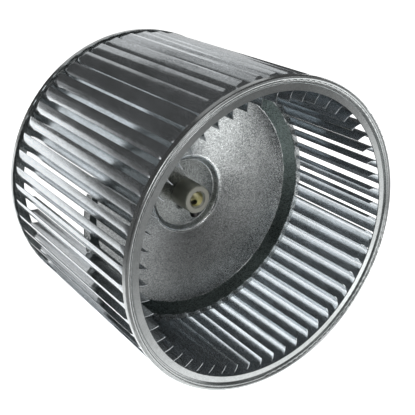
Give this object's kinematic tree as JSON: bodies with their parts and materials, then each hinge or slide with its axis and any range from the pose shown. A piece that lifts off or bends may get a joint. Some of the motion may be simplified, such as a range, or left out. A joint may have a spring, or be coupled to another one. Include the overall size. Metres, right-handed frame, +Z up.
{
  "type": "blower motor wheel",
  "caption": "Double-inlet forward-curved blower wheel: rolled end rings, curved blades, dished centre disc and a bored hub with a set screw.",
  "frame": {"origin": "centre of the wheel, on the shaft axis, midway between the two end rings' outer faces", "axes": "Y is the shaft axis and the front opening, where the hub's bore and set screw are reached, faces -Y; +Z is up"},
  "size_m": [0.254, 0.2032, 0.254],
  "materials": {
    "ring_steel": "galvanised sheet, rolled, semi-bright",
    "blade_steel": "galvanised sheet, semi-bright",
    "disc_steel": "galvanised sheet with a fine spangle",
    "hub_steel": "turned steel, zinc plated",
    "screw_steel": "black oxide"
  },
  "bodies": {
    "wheel": {"front_end_ring": "ring_steel", "rear_end_ring": "ring_steel", "centre_disc": "disc_steel", "hub": "hub_steel", "blade_01": "blade_steel", "blade_02": "blade_steel", "blade_03": "blade_steel", "blade_04": "blade_steel", "blade_05": "blade_steel", "blade_06": "blade_steel", "blade_07": "blade_steel", "blade_08": "blade_steel", "blade_09": "blade_steel", "blade_10": "blade_steel", "blade_11": "blade_steel", "blade_12": "blade_steel", "blade_13": "blade_steel", "blade_14": "blade_steel", "blade_15": "blade_steel", "blade_16": "blade_steel", "blade_17": "blade_steel", "blade_18": "blade_steel", "blade_19": "blade_steel", "blade_20": "blade_steel", "blade_21": "blade_steel", "blade_22": "blade_steel", "blade_23": "blade_steel", "blade_24": "blade_steel", "blade_25": "blade_steel", "blade_26": "blade_steel", "blade_27": "blade_steel", "blade_28": "blade_steel", "blade_29": "blade_steel", "blade_30": "blade_steel", "blade_31": "blade_steel", "blade_32": "blade_steel", "blade_33": "blade_steel", "blade_34": "blade_steel", "blade_35": "blade_steel", "blade_36": "blade_steel", "blade_37": "blade_steel", "blade_38": "blade_steel", "blade_39": "blade_steel", "blade_40": "blade_steel", "blade_41": "blade_steel", "blade_42": "blade_steel", "blade_43": "blade_steel", "blade_44": "blade_steel", "blade_45": "blade_steel", "blade_46": "blade_steel", "blade_47": "blade_steel", "blade_48": "blade_steel", "blade_49": "blade_steel", "blade_50": "blade_steel", "blade_51": "blade_steel", "blade_52": "blade_steel", "blade_53": "blade_steel", "blade_54": "blade_steel"},
    "set_screw": {"set_screw": "screw_steel"}
  },
  "joints": [
    {"name": "set_screw_travel", "type": "slide", "parent": "wheel", "child": "set_screw", "axis": [0.1736, 0, -0.9848], "range_m": [-0.0012, 0.005]}
  ]
}
